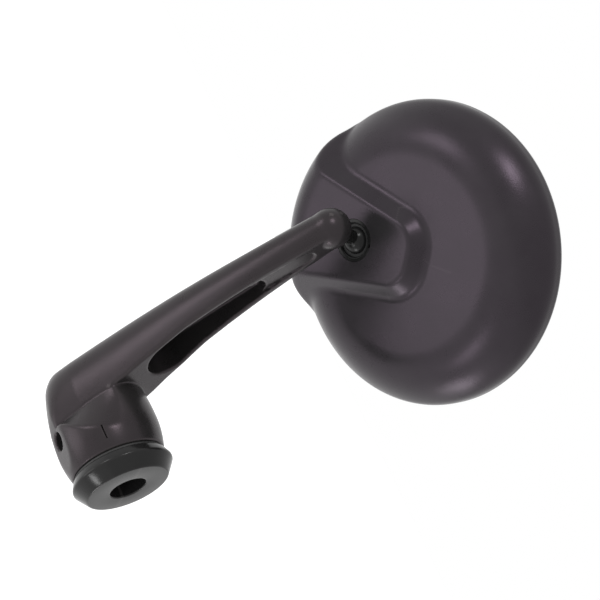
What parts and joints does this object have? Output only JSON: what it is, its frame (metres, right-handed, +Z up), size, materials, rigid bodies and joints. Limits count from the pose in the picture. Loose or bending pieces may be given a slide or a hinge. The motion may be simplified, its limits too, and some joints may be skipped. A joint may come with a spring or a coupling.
{
  "type": "bar end mirror",
  "caption": "Round convex mirror on a friction ball joint, carried by a tapered arm that clamps to a bevelled handlebar-end collar.",
  "frame": {"origin": "centre of the collar's flat face, where it meets the end of the handlebar", "axes": "+X outboard along the handlebar's axis, +Z up along the arm, +Y towards the front of the motorcycle"},
  "size_m": [0.0997, 0.0696, 0.1782],
  "materials": {
    "anodised_collar": "black anodised, satin",
    "anodised_arm": "black anodised, bead blasted",
    "anodised_shell": "black anodised, bead blasted",
    "black_steel": "blackened, polished",
    "nylon": "matt moulded nylon",
    "carrier_plastic": "matt moulded plastic",
    "zinc_steel": "zinc plated",
    "foam": "closed-cell foam",
    "mirror_face": "silvered convex glass",
    "gasket_rubber": "matt rubber"
  },
  "bodies": {
    "collar": {"bar_collar": "anodised_collar", "friction_washer": "nylon"},
    "arm": {"arm": "anodised_arm", "clamp_screw": "black_steel"},
    "ball": {"ball_stud": "black_steel"},
    "liner": {"ball_liner": "nylon"},
    "head": {"head_shell": "anodised_shell", "socket_ring": "black_steel", "glass_carrier": "carrier_plastic", "carrier_screws": "zinc_steel", "adhesive_pad": "foam", "mirror_glass": "mirror_face", "glass_gasket": "gasket_rubber"}
  },
  "joints": [
    {"name": "arm_swing", "type": "hinge", "parent": "collar", "child": "arm", "pos_m": [0, 0, 0], "axis": [1, 0, 0], "continuous": true},
    {"name": "stud_spin", "type": "hinge", "parent": "arm", "child": "ball", "pos_m": [0.0426, -0.0156, 0.0991], "axis": [-0.0495, -0.966, 0.2539], "range_deg": [-60, 60]},
    {"name": "head_tilt", "type": "hinge", "parent": "ball", "child": "liner", "pos_m": [0.0426, -0.0156, 0.0991], "axis": [0.8084, -0.1881, -0.5578], "range_deg": [-12, 30]},
    {"name": "head_pan", "type": "hinge", "parent": "liner", "child": "head", "pos_m": [0.0426, -0.0156, 0.0991], "axis": [-0.5772, -0.4397, -0.6882], "range_deg": [-20, 20]}
  ]
}
